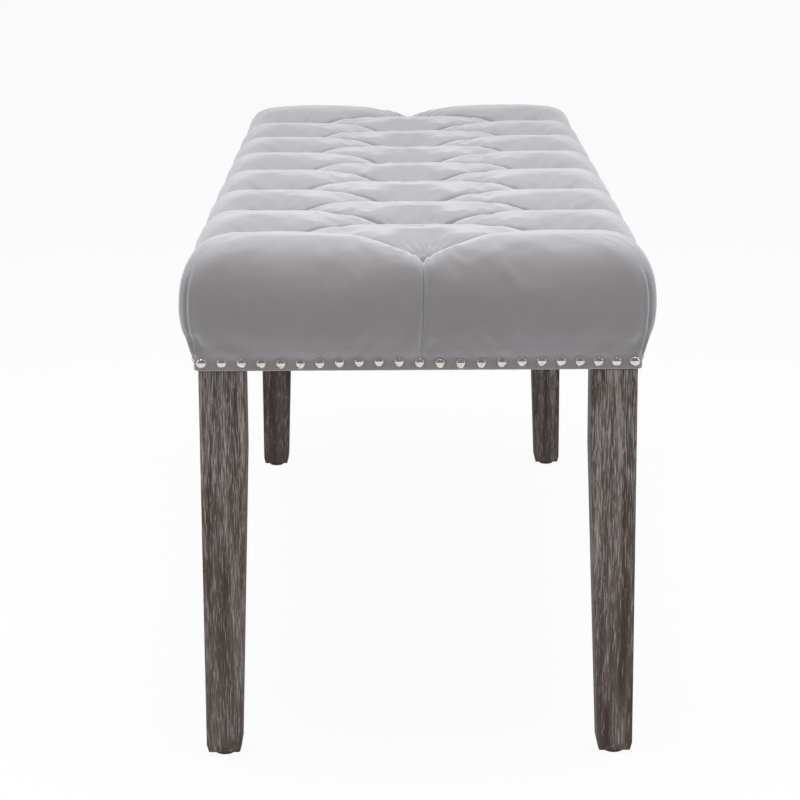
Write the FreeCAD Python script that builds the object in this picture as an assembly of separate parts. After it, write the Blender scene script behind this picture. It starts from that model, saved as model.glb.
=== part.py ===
import FreeCAD, Part
import math
import os

# Tufted bench: a velvet seat with nailhead trim on four square tapered wooden legs.
# Millimetres. X runs along the bench, Y across it and Z up; the origin is on the floor,
# under the middle of the seat. The wooden seat frame and deck carry foam, wadding and a
# tufted velvet cover; the legs bolt to the frame's corner blocks through the cover's hem.

Vec = FreeCAD.Vector
OUT = "parts"

# Legs and glides
leg_length = 345.5
leg_top_side = 40.0
leg_foot_side = 31.0
leg_straight_length = 73.0
leg_edge_radius = 2.0
leg_bevel_height = 7.0
leg_bevel_inset = 1.6
glide_diameter = 18.0
glide_height = 4.5
glide_edge = 2.0
glide_nail_diameter = 2.4
glide_nail_length = 17.0
glide_nail_cover = 1.5

# Seat frame
frame_length = 1071.0
frame_width = 376.5
rail_height = 45.0
rail_thickness = 20.0
corner_block_side = 60.0
deck_thickness = 12.0
cross_rail_offset = 175.0

# Upholstery
foam_thickness = 48.0
wadding_over_foam = 6.0
wadding_over_rail = 2.0
cover_thickness = 1.5
hem_width = 42.0
nail_band_height = 14.0
side_swell = 11.0
seat_corner_cut = 3.0
swell_corner_radius = 22.0
shoulder_drop = 18.0
shoulder_inset = 10.0
end_face_top = 65.0
end_face_bottom = 35.0
end_shoulder_drop = 6.0
end_crest_inset = 45.0
dust_cover_thickness = 0.8
dust_cover_margin = 16.0
leg_clearance = 2.0

# Tufting: a centre row, and a row each side half a pitch out of step with it
centre_tufts = 8
tuft_end_distance = 60.0
tuft_row_offset = 140.0
tuft_depth = 28.0
tuft_radius = 4.0
pleat_depth = 18.0
end_pleat_depth = 3.0
edge_pleat_depth = 17.0
edge_pleat_notch = 6.0
edge_pleat_pull = 2.0
pad_fullness = 0.6
least_pad_rise = 0.5
twine_diameter = 2.0
twine_hole_diameter = 6.0
knot_diameter = 5.0
knot_seat = 0.2
washer_diameter = 14.0
washer_thickness = 1.5

# Trim nails, driven by hand and so a little uneven
nail_head_diameter = 9.5
nail_head_height = 3.2
nail_shank_diameter = 1.6
nail_shank_length = 12.0
nail_height = 7.5
end_nail_pitch = 16.8
side_nail_pitch = 16.8
nail_corner_margin = 7.0
side_nail_margin = 20.0
nail_drift = 2.4
nail_wave = 0.9

# Fasteners
bolt_diameter = 8.0
bolt_in_leg = 32.0
bolt_in_frame = 43.0
bolt_clearance = 0.5
t_nut_flange_diameter = 20.0
t_nut_flange_thickness = 1.5
t_nut_barrel_diameter = 10.0
t_nut_barrel_length = 11.0
locating_dowel_diameter = 6.0
locating_dowel_depth = 15.0
locating_dowel_spacing = 9.0
rail_dowel_diameter = 8.0
rail_dowel_depth = 18.0
rail_dowel_spacing = 20.0
screw_diameter = 4.0
screw_head_diameter = 8.0
screw_head_height = 2.6
deck_screw_length = 34.0
deck_screw_pitch = 160.0
deck_screws_per_rail = 6
end_rail_screw_offset = 80.0
block_screw_inset = 15.0
cross_screw_length = 55.0
cross_screw_spacing = 20.0
staple_crown = 10.0
staple_leg = 6.0
staple_wire = 1.0
staple_pitch = 60.0
past = 1.0

# Levels
hem_bottom = glide_height + leg_length
frame_bottom = hem_bottom + cover_thickness
deck_bottom = frame_bottom + rail_height
deck_top = deck_bottom + deck_thickness
crown = deck_top + foam_thickness + wadding_over_foam + cover_thickness
band_top = hem_bottom + nail_band_height
dust_cover_bottom = hem_bottom - dust_cover_thickness
nail_level = hem_bottom + nail_height

# Half sizes of the frame, of the cover at the nail band and of the swell above it
frame_x = frame_length / 2
frame_y = frame_width / 2
band_x = frame_x + wadding_over_rail + cover_thickness
band_y = frame_y + wadding_over_rail + cover_thickness
swell_x = band_x + side_swell
swell_y = band_y + side_swell

# Plan positions
last_tuft_x = swell_x - tuft_end_distance
tuft_pitch = 2 * last_tuft_x / (centre_tufts - 1)
leg_centre_x = frame_x - leg_top_side / 2
leg_centre_y = frame_y - leg_top_side / 2
foot_centre_x = frame_x - leg_foot_side / 2
foot_centre_y = frame_y - leg_foot_side / 2
rail_inner_y = frame_y - rail_thickness
rail_centre_x = frame_x - rail_thickness / 2
rail_centre_y = frame_y - rail_thickness / 2
block_inner_x = frame_x - corner_block_side
block_inner_y = frame_y - corner_block_side
CORNERS = {
    "front_left": (-1, -1),
    "front_right": (1, -1),
    "back_left": (-1, 1),
    "back_right": (1, 1),
}


def save(name, *solids):
    """Writes one node: its solids stay separate."""
    shape = solids[0] if len(solids) == 1 else Part.makeCompound(list(solids))
    shape.exportStep(os.path.join(OUT, name + ".step"))


def box(x_ends, y_ends, z_ends):
    """Block between two ends on each axis, in either order."""
    low = Vec(min(x_ends), min(y_ends), min(z_ends))
    size = Vec(max(x_ends), max(y_ends), max(z_ends)) - low
    return Part.makeBox(size.x, size.y, size.z, low)


def post(x, y, z0, z1, diameter):
    """Upright cylinder."""
    return Part.makeCylinder(diameter / 2, z1 - z0, Vec(x, y, z0))


def cut_all(shape, tools):
    return shape.cut(Part.makeCompound(list(tools)))


def spread(first, last, pitch):
    """Even places from first to last, about a pitch apart."""
    count = max(1, round((last - first) / pitch))
    return [first + index * (last - first) / count for index in range(count + 1)]


# Legs: straight for a short way under the seat, then tapered on the two inner faces.
def rounded_square(x0, x1, y0, y1, radius, z):
    """Closed wire of four lines and four quarter arcs."""
    x0, x1 = min(x0, x1), max(x0, x1)
    y0, y1 = min(y0, y1), max(y0, y1)
    centres = [
        (x1 - radius, y0 + radius),
        (x1 - radius, y1 - radius),
        (x0 + radius, y1 - radius),
        (x0 + radius, y0 + radius),
    ]
    corners = []
    for turn, (cx, cy) in enumerate(centres):
        angles = [math.radians(90 * turn + a) for a in (-90, -45, 0)]
        corners.append(
            [Vec(cx + radius * math.cos(a), cy + radius * math.sin(a), z) for a in angles]
        )
    edges = []
    for index, (start, middle, end) in enumerate(corners):
        following = corners[(index + 1) % len(corners)][0]
        edges.append(Part.Arc(start, middle, end).toShape())
        edges.append(Part.LineSegment(end, following).toShape())
    return Part.Wire(edges)


def leg(side_x, side_y):
    outer_x = side_x * frame_x
    outer_y = side_y * frame_y
    bottom = glide_height
    top = bottom + leg_length

    def section(side, z, inset=0.0):
        return rounded_square(
            outer_x - side_x * inset,
            outer_x - side_x * (side - inset),
            outer_y - side_y * inset,
            outer_y - side_y * (side - inset),
            leg_edge_radius,
            z,
        )

    taper = (leg_top_side - leg_foot_side) / (leg_length - leg_straight_length)
    sections = [
        section(leg_foot_side, bottom, leg_bevel_inset),
        section(leg_foot_side + taper * leg_bevel_height, bottom + leg_bevel_height),
        section(leg_top_side, top - leg_straight_length),
        section(leg_top_side, top),
    ]
    return Part.makeLoft(sections, True, True)


# Glides: a round plastic foot with an eased edge, moulded on a steel nail.
def glide(x, y):
    disc = post(x, y, 0.0, glide_height, glide_diameter)
    lower_edge = [edge for edge in disc.Edges if edge.BoundBox.ZMax < glide_edge]
    return disc.makeFillet(glide_edge, lower_edge)


def glide_nail(x, y):
    return post(x, y, glide_nail_cover, glide_nail_cover + glide_nail_length, glide_nail_diameter)


# Leg fixings: a hanger bolt into a T-nut, and a dowel that stops the leg turning.
def hanger_bolt(x, y):
    return post(x, y, hem_bottom - bolt_in_leg, frame_bottom + bolt_in_frame, bolt_diameter)


def t_nut(x, y):
    flange_bottom = deck_bottom - t_nut_flange_thickness
    barrel_bottom = flange_bottom - t_nut_barrel_length
    flange = post(x, y, flange_bottom, deck_bottom, t_nut_flange_diameter)
    barrel = post(x, y, barrel_bottom, deck_bottom, t_nut_barrel_diameter)
    bore = post(x, y, barrel_bottom - past, deck_bottom + past, bolt_diameter)
    return flange.fuse(barrel).cut(bore).removeSplitter()


def locating_dowel(x, y, side_x, side_y):
    low = hem_bottom - locating_dowel_depth
    high = frame_bottom + locating_dowel_depth
    dowel_x = x + side_x * locating_dowel_spacing
    dowel_y = y + side_y * locating_dowel_spacing
    return post(dowel_x, dowel_y, low, high, locating_dowel_diameter)


# Frame joints
def rail_dowels():
    """Pairs of dowels from the ends of the four rails into the corner blocks."""
    dowels = []
    radius = rail_dowel_diameter / 2
    for side_x, side_y in CORNERS.values():
        for level in (-1, 1):
            z = frame_bottom + rail_height / 2 + level * rail_dowel_spacing / 2
            x = side_x * (block_inner_x - rail_dowel_depth)
            y = side_y * (block_inner_y - rail_dowel_depth)
            for start, along in (
                (Vec(x, side_y * rail_centre_y, z), Vec(side_x, 0, 0)),
                (Vec(side_x * rail_centre_x, y, z), Vec(0, side_y, 0)),
            ):
                dowels.append(Part.makeCylinder(radius, 2 * rail_dowel_depth, start, along))
    return dowels


def screw(start, direction, length):
    """Countersunk screw whose head is flush at start."""
    head_radius = screw_head_diameter / 2
    radius = screw_diameter / 2
    head = Part.makeCone(head_radius, radius, screw_head_height, start, direction)
    shank = Part.makeCylinder(radius, length, start, direction)
    return head.fuse(shank).removeSplitter()


def deck_screws():
    places = []
    row = deck_screw_pitch * (deck_screws_per_rail - 1) / 2
    for side in (-1, 1):
        places += [(x, side * rail_centre_y) for x in spread(-row, row, deck_screw_pitch)]
        for way in (-1, 1):
            corner_x = way * (block_inner_x + block_screw_inset)
            corner_y = side * (block_inner_y + block_screw_inset)
            places.append((way * rail_centre_x, side * end_rail_screw_offset))
            places.append((corner_x, corner_y))
    return [screw(Vec(x, y, deck_top), Vec(0, 0, -1), deck_screw_length) for x, y in places]


def cross_rail_screws():
    """Two screws through each long rail into each end of each cross rail."""
    screws = []
    for side in (-1, 1):
        for way in (-1, 1):
            for level in (-1, 1):
                z = frame_bottom + rail_height / 2 + level * cross_screw_spacing / 2
                start = Vec(way * cross_rail_offset, side * frame_y, z)
                screws.append(screw(start, Vec(0, -side, 0), cross_screw_length))
    return screws


# Tufts
def tuft_places():
    places = [(-last_tuft_x + index * tuft_pitch, 0.0) for index in range(centre_tufts)]
    for index in range(centre_tufts - 1):
        x = -last_tuft_x + (index + 0.5) * tuft_pitch
        places += [(x, -tuft_row_offset), (x, tuft_row_offset)]
    return places


def tuft_tie(x, y):
    """Twine from the underside of the tufted cover to a knot under the deck washer."""
    top = crown - tuft_depth - cover_thickness
    washer_bottom = deck_bottom - washer_thickness
    knot_centre = Vec(x, y, washer_bottom + knot_seat - knot_diameter / 2)
    ball = Part.makeSphere(knot_diameter / 2, knot_centre)
    knot = ball.common(post(x, y, washer_bottom - knot_diameter, washer_bottom, knot_diameter))
    return post(x, y, knot_centre.z, top, twine_diameter).fuse(knot)


def tuft_washer(x, y):
    bottom = deck_bottom - washer_thickness
    disc = post(x, y, bottom, deck_bottom, washer_diameter)
    return disc.cut(post(x, y, bottom - past, deck_bottom + past, twine_diameter))


# Cushion form, lofted along the bench through sections of one line and five arcs: a swelling
# side, an outer pad, the middle pad, an outer pad and the other side. The pads meet at the
# pleats, which close in on the middle at a centre tuft and open out to the rows of side tufts.
def fall(share):
    """Drop of a quarter circle of unit radius at a share of its run."""
    return 1 - math.sqrt(1 - min(max(share, 0.0), 1.0) ** 2)


def section_wire(x, inset):
    """Section of the form at x, drawn in on all sides by inset."""
    end = swell_x - inset
    band_end = band_x - inset
    past_tufts = max(abs(x) - last_tuft_x, 0.0)
    end_share = past_tufts / (end - last_tuft_x)
    phase = (last_tuft_x - abs(x)) / tuft_pitch
    share = 0.0 if past_tufts > 0 else abs(phase - round(phase)) * 2
    middle_sunk = 1 - math.sin(math.pi * share / 2) ** pad_fullness
    edge_sunk = 1 - max(math.cos(math.pi * share / 2), 0.0) ** pad_fullness

    # Levels
    drop = fall((abs(x) - end + end_crest_inset) / end_crest_inset)
    crest = crown - inset
    end_crest = hem_bottom + end_face_top - inset
    shoulder = crest - shoulder_drop - edge_pleat_notch * edge_sunk
    crest -= drop * (crest - end_crest)
    shoulder -= drop * (shoulder - end_crest + end_shoulder_drop)
    pleat = tuft_depth - (tuft_depth - pleat_depth) * math.sin(math.pi * share)
    valley = crest - pleat * (1 - end_share) - end_pleat_depth * end_share
    middle = max(crest - tuft_depth * middle_sunk, valley + least_pad_rise)
    if past_tufts > 0:
        middle = valley + least_pad_rise
    outer_crest = crest - edge_pleat_depth * edge_sunk
    past_band = max(abs(x) - band_end, 0.0) / side_swell
    base = band_top + (end_face_bottom - nail_band_height) * past_band

    # Half widths
    pleat_y = tuft_radius + (tuft_row_offset - tuft_radius) * share
    round_share = (abs(x) - end + swell_corner_radius) / swell_corner_radius
    swell = swell_y - inset - swell_corner_radius * fall(round_share)
    swell -= edge_pleat_pull * edge_sunk
    corner = min(max(abs(x) - band_end + seat_corner_cut, 0.0), seat_corner_cut)
    foot = min(band_y - inset - corner, swell - seat_corner_cut)
    shoulder_y = swell - shoulder_inset
    outer_y = (shoulder_y + pleat_y) / 2

    line = [
        (foot, base),
        (swell, (base + shoulder) / 2),
        (shoulder_y, shoulder),
        (outer_y, outer_crest),
        (pleat_y, valley),
    ]
    points = [Vec(x, -y, z) for y, z in line]
    points.append(Vec(x, 0, middle))
    points += [Vec(x, y, z) for y, z in reversed(line)]
    edges = []
    for start in range(0, len(points) - 1, 2):
        edges.append(Part.Arc(*points[start : start + 3]).toShape())
    edges.append(Part.LineSegment(points[-1], points[0]).toShape())
    return Part.Wire(edges)


def form_stations(inset):
    """X of each section: close to each tuft, midway between, and closer round each end."""
    end = swell_x - inset
    band_end = band_x - inset
    inner = []
    for index in range(2 * centre_tufts - 2):
        start = -last_tuft_x + index * tuft_pitch / 2
        inner += [start + share * tuft_pitch / 2 for share in (0.0, 0.25, 0.75)]
    inner.append(last_tuft_x)
    run = band_end - seat_corner_cut - last_tuft_x
    outer = [last_tuft_x + run * share for share in (0.35, 0.65, 0.87, 1.0)]
    outer += [band_end + (end - band_end) * share for share in (0.0, 0.5, 0.85, 1.0)]
    return [-x for x in reversed(outer)] + inner + outer


def upper_form(inset):
    """Form above the nail band, drawn in by inset."""
    return Part.makeLoft([section_wire(x, inset) for x in form_stations(inset)], True, True)


def band_form(inset, bottom):
    """Straight band that carries the nails, from bottom to the upper form."""
    x = band_x - inset
    y = band_y - inset
    cut_x = x - seat_corner_cut
    cut_y = y - seat_corner_cut
    quarter = [(x, cut_y), (cut_x, y)]
    plan = quarter + [(-px, py) for px, py in reversed(quarter)]
    plan += [(-px, -py) for px, py in quarter]
    plan += [(px, -py) for px, py in reversed(quarter)]
    corners = [Vec(px, py, bottom) for px, py in plan]
    outline = Part.makePolygon(corners + corners[:1])
    return Part.Face(outline).extrude(Vec(0, 0, band_top - bottom))


# Staples along the dust cover's edge: crown below the cloth, legs up into the rails
def staple(x, y, along):
    across = Vec(1, 0, 0) if along == "x" else Vec(0, 1, 0)
    half = staple_wire / 2
    crown_bottom = dust_cover_bottom - staple_wire
    leg_offset = across * ((staple_crown - staple_wire) / 2)
    reach = Vec(half, half, 0) + leg_offset
    crown_ends = (crown_bottom, dust_cover_bottom)
    bar = box((x - reach.x, x + reach.x), (y - reach.y, y + reach.y), crown_ends)
    for way in (-1, 1):
        leg_x = x + way * leg_offset.x
        leg_y = y + way * leg_offset.y
        leg_ends = (crown_bottom, dust_cover_bottom + staple_leg)
        bar = bar.fuse(box((leg_x - half, leg_x + half), (leg_y - half, leg_y + half), leg_ends))
    return bar.removeSplitter()


def staples():
    edge_x = band_x - dust_cover_margin - staple_wire
    edge_y = band_y - dust_cover_margin - staple_wire
    row_x = frame_x - leg_top_side - leg_clearance - staple_crown
    row_y = frame_y - leg_top_side - leg_clearance - staple_crown
    found = []
    for side in (-1, 1):
        found += [staple(x, side * edge_y, "x") for x in spread(-row_x, row_x, staple_pitch)]
        found += [staple(side * edge_x, y, "y") for y in spread(-row_y, row_y, staple_pitch)]
    return found


# Trim nails: a domed head on a round shank, pointing into the frame
def trim_nail(place, inward):
    radius = nail_head_diameter / 2
    dome_radius = (radius**2 + nail_head_height**2) / (2 * nail_head_height)
    ball = Part.makeSphere(dome_radius, place + inward * (dome_radius - nail_head_height))
    keep = Part.makeCylinder(nail_head_diameter, nail_head_diameter, place, inward.negative())
    shank = Part.makeCylinder(nail_shank_diameter / 2, nail_shank_length, place, inward)
    return ball.common(keep).fuse(shank)


def nail_row(first, last, pitch):
    """Places along a row and their heights: even, but for the drift of a hand-driven row."""
    found = []
    for along in spread(first, last, pitch):
        turn = math.pi * (along - first) / (last - first)
        drift = nail_drift * (math.sin(turn) - math.sin(2 * turn) + math.sin(3 * turn) / 2)
        wave = nail_wave * math.sin(turn) * math.cos(5 * turn)
        found.append((along + drift, nail_level + wave))
    return found


def trim_nails():
    """Nails of each side of the seat, by node name."""
    end_row = band_y - nail_corner_margin
    side_row = band_x - side_nail_margin
    rows = {}
    for name, side in (("trim_nails_front", -1), ("trim_nails_back", 1)):
        places = nail_row(-side_row, side_row, side_nail_pitch)
        inward = Vec(0, -side, 0)
        rows[name] = [trim_nail(Vec(x, side * band_y, z), inward) for x, z in places]
    for name, way in (("trim_nails_left_end", -1), ("trim_nails_right_end", 1)):
        places = nail_row(-end_row, end_row, end_nail_pitch)
        inward = Vec(-way, 0, 0)
        rows[name] = [trim_nail(Vec(way * band_x, y, z), inward) for y, z in places]
    return rows


def save_legs(bolts, dowels, glide_nails):
    for name, (side_x, side_y) in CORNERS.items():
        x = side_x * foot_centre_x
        y = side_y * foot_centre_y
        save("leg_" + name, cut_all(leg(side_x, side_y), bolts + dowels + glide_nails))
        save("glide_" + name, cut_all(glide(x, y), glide_nails))


def save_frame(fixings, leg_fixings):
    """Rails, corner blocks and cross rails, drilled for what goes into them."""
    levels = (frame_bottom, deck_bottom)
    for name, side in (("rail_front", -1), ("rail_back", 1)):
        ends = (side * rail_inner_y, side * frame_y)
        save(name, cut_all(box((-block_inner_x, block_inner_x), ends, levels), fixings))
    for name, way in (("rail_left_end", -1), ("rail_right_end", 1)):
        ends = (way * (frame_x - rail_thickness), way * frame_x)
        save(name, cut_all(box(ends, (-block_inner_y, block_inner_y), levels), fixings))
    for name, way in (("cross_rail_left", -1), ("cross_rail_right", 1)):
        x = way * cross_rail_offset
        ends = (x - rail_thickness / 2, x + rail_thickness / 2)
        save(name, cut_all(box(ends, (-rail_inner_y, rail_inner_y), levels), fixings))
    for name, (side_x, side_y) in CORNERS.items():
        x = side_x * leg_centre_x
        y = side_y * leg_centre_y
        x_ends = (side_x * block_inner_x, side_x * frame_x)
        y_ends = (side_y * block_inner_y, side_y * frame_y)
        hole_diameter = bolt_diameter + 2 * bolt_clearance
        bolt_hole = post(x, y, frame_bottom - past, deck_bottom, hole_diameter)
        tools = fixings + leg_fixings + [bolt_hole]
        save("corner_block_" + name, cut_all(box(x_ends, y_ends, levels), tools))


def save_upholstery(nails, leg_fixings, clips, ties):
    """Foam, wadding and cover, each pulled down at the tufts."""
    everywhere = (-2 * swell_x, 2 * swell_x)
    under_cover = upper_form(cover_thickness)
    under_wadding = upper_form(cover_thickness + wadding_over_foam)
    foam = under_wadding.common(box(everywhere, everywhere, (deck_top, crown)))
    holes = [post(x, y, deck_top - past, crown, twine_hole_diameter) for x, y in tuft_places()]
    save("foam_pad", cut_all(foam, holes))

    frame_ends = ((-frame_x, frame_x), (-frame_y, frame_y))
    frame_space = box(*frame_ends, (frame_bottom - past, deck_top))
    wadding = under_cover.cut(frame_space).cut(foam)
    rim = cut_all(band_form(cover_thickness, frame_bottom).cut(frame_space), nails)
    save("wadding", cut_all(wadding.fuse(rim), ties).removeSplitter())

    hem_inner_x = band_x - hem_width
    hem_inner_y = band_y - hem_width
    hem_ends = (hem_bottom - past, frame_bottom + past)
    opening = box((-hem_inner_x, hem_inner_x), (-hem_inner_y, hem_inner_y), hem_ends)
    band = band_form(0.0, hem_bottom).cut(band_form(cover_thickness, frame_bottom)).cut(opening)
    band = cut_all(band, nails + leg_fixings + clips)
    save("velvet_cover", upper_form(0.0).cut(under_cover).fuse(band))


def save_dust_cover(clips):
    """Black cloth over the underside, notched round the legs."""
    x = band_x - dust_cover_margin
    y = band_y - dust_cover_margin
    sheet = box((-x, x), (-y, y), (dust_cover_bottom, hem_bottom))
    notch_x = frame_x - leg_top_side - leg_clearance
    notch_y = frame_y - leg_top_side - leg_clearance
    notches = []
    for side_x, side_y in CORNERS.values():
        x_ends = (side_x * notch_x, side_x * swell_x)
        y_ends = (side_y * notch_y, side_y * swell_y)
        notches.append(box(x_ends, y_ends, (dust_cover_bottom - past, hem_bottom + past)))
    save("dust_cover", cut_all(sheet, notches + clips))


def main():
    os.makedirs(OUT, exist_ok=True)
    leg_places = [(sx * leg_centre_x, sy * leg_centre_y) for sx, sy in CORNERS.values()]
    bolts = [hanger_bolt(x, y) for x, y in leg_places]
    nuts = [t_nut(x, y) for x, y in leg_places]
    leg_dowels = []
    glide_nails = []
    for side_x, side_y in CORNERS.values():
        x = side_x * leg_centre_x
        y = side_y * leg_centre_y
        leg_dowels.append(locating_dowel(x, y, side_x, side_y))
        glide_nails.append(glide_nail(side_x * foot_centre_x, side_y * foot_centre_y))
    save_legs(bolts, leg_dowels, glide_nails)
    save("glide_nails", *glide_nails)
    save("hanger_bolts", *bolts)
    save("locating_dowels", *leg_dowels)
    save("t_nuts", *nuts)

    joints = rail_dowels()
    into_deck = deck_screws()
    into_cross = cross_rail_screws()
    clips = staples()
    nail_rows = trim_nails()
    nails = [nail for row in nail_rows.values() for nail in row]
    save_frame(joints + into_deck + into_cross + clips + nails, leg_dowels + nuts)
    save("rail_dowels", *joints)
    save("deck_screws", *into_deck)
    save("cross_rail_screws", *into_cross)
    deck = box((-frame_x, frame_x), (-frame_y, frame_y), (deck_bottom, deck_top))
    holes = []
    for x, y in tuft_places():
        holes.append(post(x, y, deck_bottom - past, deck_top + past, twine_hole_diameter))
    save("seat_deck", cut_all(deck, holes + into_deck))

    ties = [tuft_tie(x, y) for x, y in tuft_places()]
    save_upholstery(nails, bolts + leg_dowels, clips, ties)
    save("tuft_ties", *ties)
    save("tuft_washers", *[tuft_washer(x, y) for x, y in tuft_places()])
    save_dust_cover(clips)
    save("dust_cover_staples", *clips)
    for name, row in nail_rows.items():
        save(name, *row)


main()
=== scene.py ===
"""Tufted bench: a velvet seat with nailhead trim on four washed wooden legs.

Metres in Blender, millimetres in the tables below. X runs along the bench, Y across it and
Z up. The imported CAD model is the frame; the sections follow the bench as it is put together.
"""

import math

import bmesh
import bpy
import numpy as np
from mathutils import Matrix, Vector, kdtree
from mathutils.geometry import delaunay_2d_cdt


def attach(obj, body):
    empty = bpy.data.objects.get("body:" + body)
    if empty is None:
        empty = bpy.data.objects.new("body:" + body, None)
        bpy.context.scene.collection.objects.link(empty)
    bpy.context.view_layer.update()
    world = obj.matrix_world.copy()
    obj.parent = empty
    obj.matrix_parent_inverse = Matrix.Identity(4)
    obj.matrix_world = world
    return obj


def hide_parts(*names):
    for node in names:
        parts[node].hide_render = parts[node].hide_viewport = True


MM = 0.001

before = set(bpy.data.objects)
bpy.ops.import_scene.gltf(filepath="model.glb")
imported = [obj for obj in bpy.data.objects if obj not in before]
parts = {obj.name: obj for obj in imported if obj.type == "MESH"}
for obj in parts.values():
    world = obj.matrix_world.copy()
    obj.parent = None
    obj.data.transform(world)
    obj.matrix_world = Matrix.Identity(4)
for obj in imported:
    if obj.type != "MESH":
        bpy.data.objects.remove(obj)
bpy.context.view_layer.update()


# Seat frame: four pine rails and two cross rails on edge, with a block in each corner to take
# the legs. All of it is planed pine, dowelled and glued, and hidden by the cover.


def new_material(name):
    """An empty node material with its Principled shader and output."""
    made = bpy.data.materials.new(name)
    made.use_nodes = True
    return made, made.node_tree, made.node_tree.nodes["Principled BSDF"]


def add(tree, kind, **settings):
    """A node of that kind, with its properties and named or numbered inputs set."""
    made = tree.nodes.new(kind)
    for key, value in settings.items():
        if key == "inputs":
            for socket, number in value.items():
                made.inputs[socket].default_value = number
        else:
            setattr(made, key, value)
    return made


def shades(tree, mask, stops):
    """A colour ramp over a mask, from (place, colour) stops."""
    ramp = add(tree, "ShaderNodeValToRGB")
    ends = ramp.color_ramp.elements
    while len(ends) < len(stops):
        ends.new(0.5)
    for end, (place, colour) in zip(ends, stops):
        end.position = place
        end.color = (*colour, 1.0)
    tree.links.new(mask, ramp.inputs["Fac"])
    return ramp.outputs["Color"]


def effect_group(name, ins, outs):
    """A shader node group with its named inputs and outputs."""
    group = bpy.data.node_groups.new(name, "ShaderNodeTree")
    for label, kind, value in ins:
        socket = group.interface.new_socket(label, in_out="INPUT", socket_type=kind)
        socket.default_value = value
    for label, kind in outs:
        group.interface.new_socket(label, in_out="OUTPUT", socket_type=kind)
    return group, group.nodes.new("NodeGroupInput"), group.nodes.new("NodeGroupOutput")


def place_group(tree, group, **values):
    """The group in a material, with its inputs set by name."""
    made = tree.nodes.new("ShaderNodeGroup")
    made.node_tree = group
    for label, value in values.items():
        made.inputs[label.replace("_", " ")].default_value = value
    return made


def make_wood_grain():
    """Grain that runs along Stretch: a mask for the colour and a height for the bump."""
    group, given, result = effect_group(
        "wood grain",
        [
            ("Stretch", "NodeSocketVector", (300.0, 300.0, 14.0)),
            ("Bands", "NodeSocketVector", (40.0, 40.0, 2.0)),
            ("Bend", "NodeSocketFloat", 0.5),
        ],
        [("Grain", "NodeSocketFloat"), ("Band", "NodeSocketFloat")],
    )
    place = add(group, "ShaderNodeTexCoord")
    found = []
    for label, detail, rough in (("Stretch", 5.0, 0.62), ("Bands", 3.0, 0.5)):
        scaled = add(group, "ShaderNodeVectorMath", operation="MULTIPLY")
        group.links.new(place.outputs["Object"], scaled.inputs[0])
        group.links.new(given.outputs[label], scaled.inputs[1])
        noise = add(
            group, "ShaderNodeTexNoise", inputs={"Scale": 1.0, "Detail": detail, "Roughness": rough}
        )
        group.links.new(scaled.outputs[0], noise.inputs["Vector"])
        group.links.new(given.outputs["Bend"], noise.inputs["Distortion"])
        found.append(noise.outputs["Fac"])
    group.links.new(found[0], result.inputs["Grain"])
    group.links.new(found[1], result.inputs["Band"])
    return group


wood_grain = make_wood_grain()


def bump_from(tree, height, distance, strength=1.0):
    """A bump of that height in metres, as a normal."""
    bump = add(tree, "ShaderNodeBump", inputs={"Strength": strength, "Distance": distance})
    tree.links.new(height, bump.inputs["Height"])
    return bump.outputs["Normal"]


def planed_wood(name, dark, pale, stretch, bands):
    """Bare planed wood, its grain run along the axis where stretch is least."""
    made, tree, shader = new_material(name)
    grain = place_group(tree, wood_grain, Stretch=stretch, Bands=bands, Bend=0.8)
    both = add(tree, "ShaderNodeMath", operation="MULTIPLY_ADD", inputs={1: 0.55})
    half = add(tree, "ShaderNodeMath", operation="MULTIPLY", inputs={1: 0.45})
    tree.links.new(grain.outputs["Grain"], half.inputs[0])
    tree.links.new(grain.outputs["Band"], both.inputs[0])
    tree.links.new(half.outputs[0], both.inputs[2])
    colour = shades(tree, both.outputs[0], [(0.34, dark), (0.62, pale)])
    tree.links.new(colour, shader.inputs["Base Color"])
    tree.links.new(
        bump_from(tree, grain.outputs["Grain"], 0.00015), shader.inputs["Normal"]
    )
    shader.inputs["Roughness"].default_value = 0.62
    return made


def finish_node(name, material):
    """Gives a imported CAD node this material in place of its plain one."""
    for index in range(len(parts[name].data.materials)):
        parts[name].material_slots[index].link = "OBJECT"
        parts[name].material_slots[index].material = material


pine_dark = (0.42, 0.27, 0.14)
pine_pale = (0.66, 0.48, 0.29)
pine_along = planed_wood("pine_along", pine_dark, pine_pale, (14, 300, 300), (2, 40, 40))
pine_across = planed_wood("pine_across", pine_dark, pine_pale, (300, 14, 300), (40, 2, 40))
pine_upright = planed_wood("pine_upright", pine_dark, pine_pale, (300, 300, 14), (40, 40, 2))
dowel_beech = planed_wood(
    "dowel_beech", (0.50, 0.33, 0.19), (0.70, 0.52, 0.34), (500, 500, 40), (90, 90, 9)
)
for name in ("rail_front", "rail_back"):
    finish_node(name, pine_along)
for name in ("rail_left_end", "rail_right_end", "cross_rail_left", "cross_rail_right"):
    finish_node(name, pine_across)
for name in [n for n in parts if n.startswith("corner_block")]:
    finish_node(name, pine_upright)
finish_node("rail_dowels", dowel_beech)


# Seat deck: one 12 mm plywood board screwed down on the rails. It carries the foam, and is
# drilled under each tuft for its tie.


def make_plywood():
    """Birch ply: long pale figure on the faces and close bands through the edge."""
    made, tree, shader = new_material("plywood_deck")
    grain = place_group(tree, wood_grain, Stretch=(9, 160, 900), Bands=(2, 18, 400), Bend=1.2)
    colour = shades(
        tree, grain.outputs["Band"], [(0.36, (0.47, 0.31, 0.17)), (0.6, (0.70, 0.53, 0.34))]
    )
    tree.links.new(colour, shader.inputs["Base Color"])
    tree.links.new(
        bump_from(tree, grain.outputs["Grain"], 0.0001), shader.inputs["Normal"]
    )
    shader.inputs["Roughness"].default_value = 0.7
    return made


finish_node("seat_deck", make_plywood())


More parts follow.
